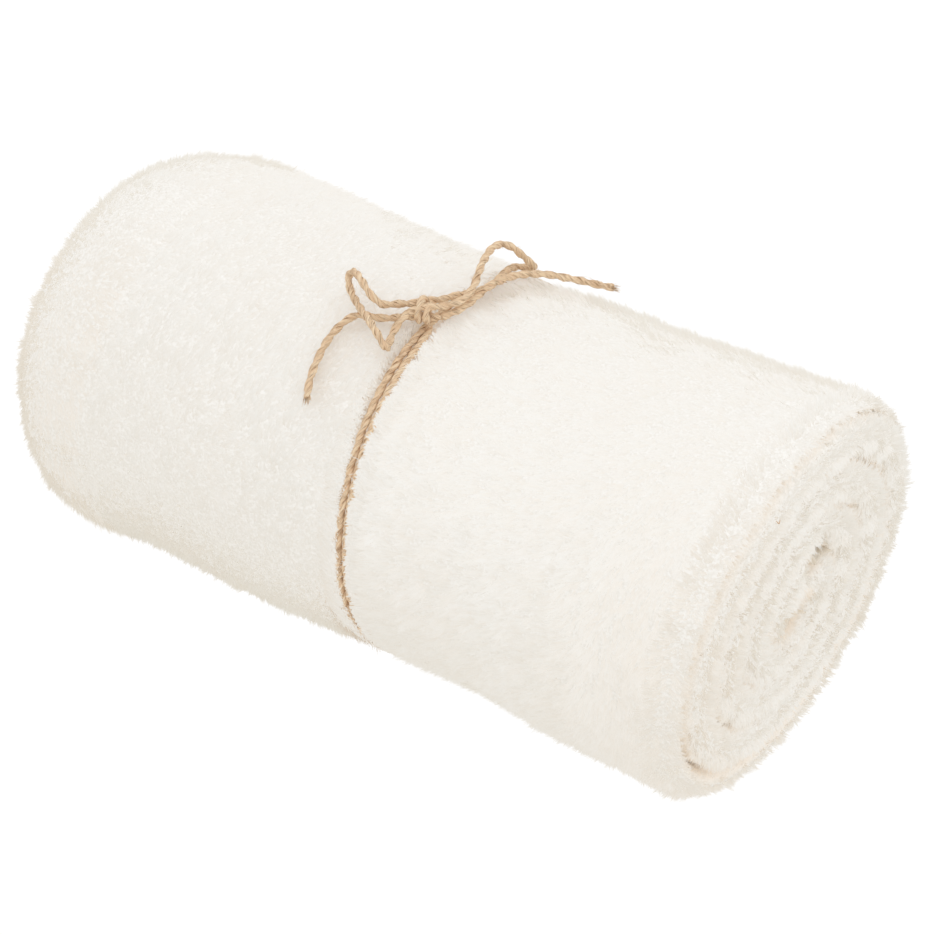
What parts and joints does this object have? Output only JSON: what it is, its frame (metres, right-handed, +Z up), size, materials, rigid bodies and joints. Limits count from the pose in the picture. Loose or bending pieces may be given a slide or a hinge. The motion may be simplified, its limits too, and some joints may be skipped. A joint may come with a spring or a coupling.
{
  "type": "rolled bath towel",
  "caption": "A thick cream terry bath towel, folded lengthwise, rolled into an oval roll with a spiral end and tied round the middle with jute twine in a bow.",
  "frame": {"origin": "centre of the roll's box at its base, on the surface that it rests on", "axes": "+X along the roll towards its spiral end, +Y to the back, +Z up"},
  "size_m": [0.3338, 0.1749, 0.1584],
  "materials": {
    "cream_terry": "long cotton pile, matt",
    "jute_twine": "rough two-ply twine, matt"
  },
  "bodies": {
    "root": {"towel_roll": "cream_terry", "tie_band": "jute_twine", "tie_knot": "jute_twine", "tie_loop_left": "jute_twine", "tie_loop_right": "jute_twine", "tie_tail_left": "jute_twine", "tie_tail_right": "jute_twine"}
  },
  "joints": []
}
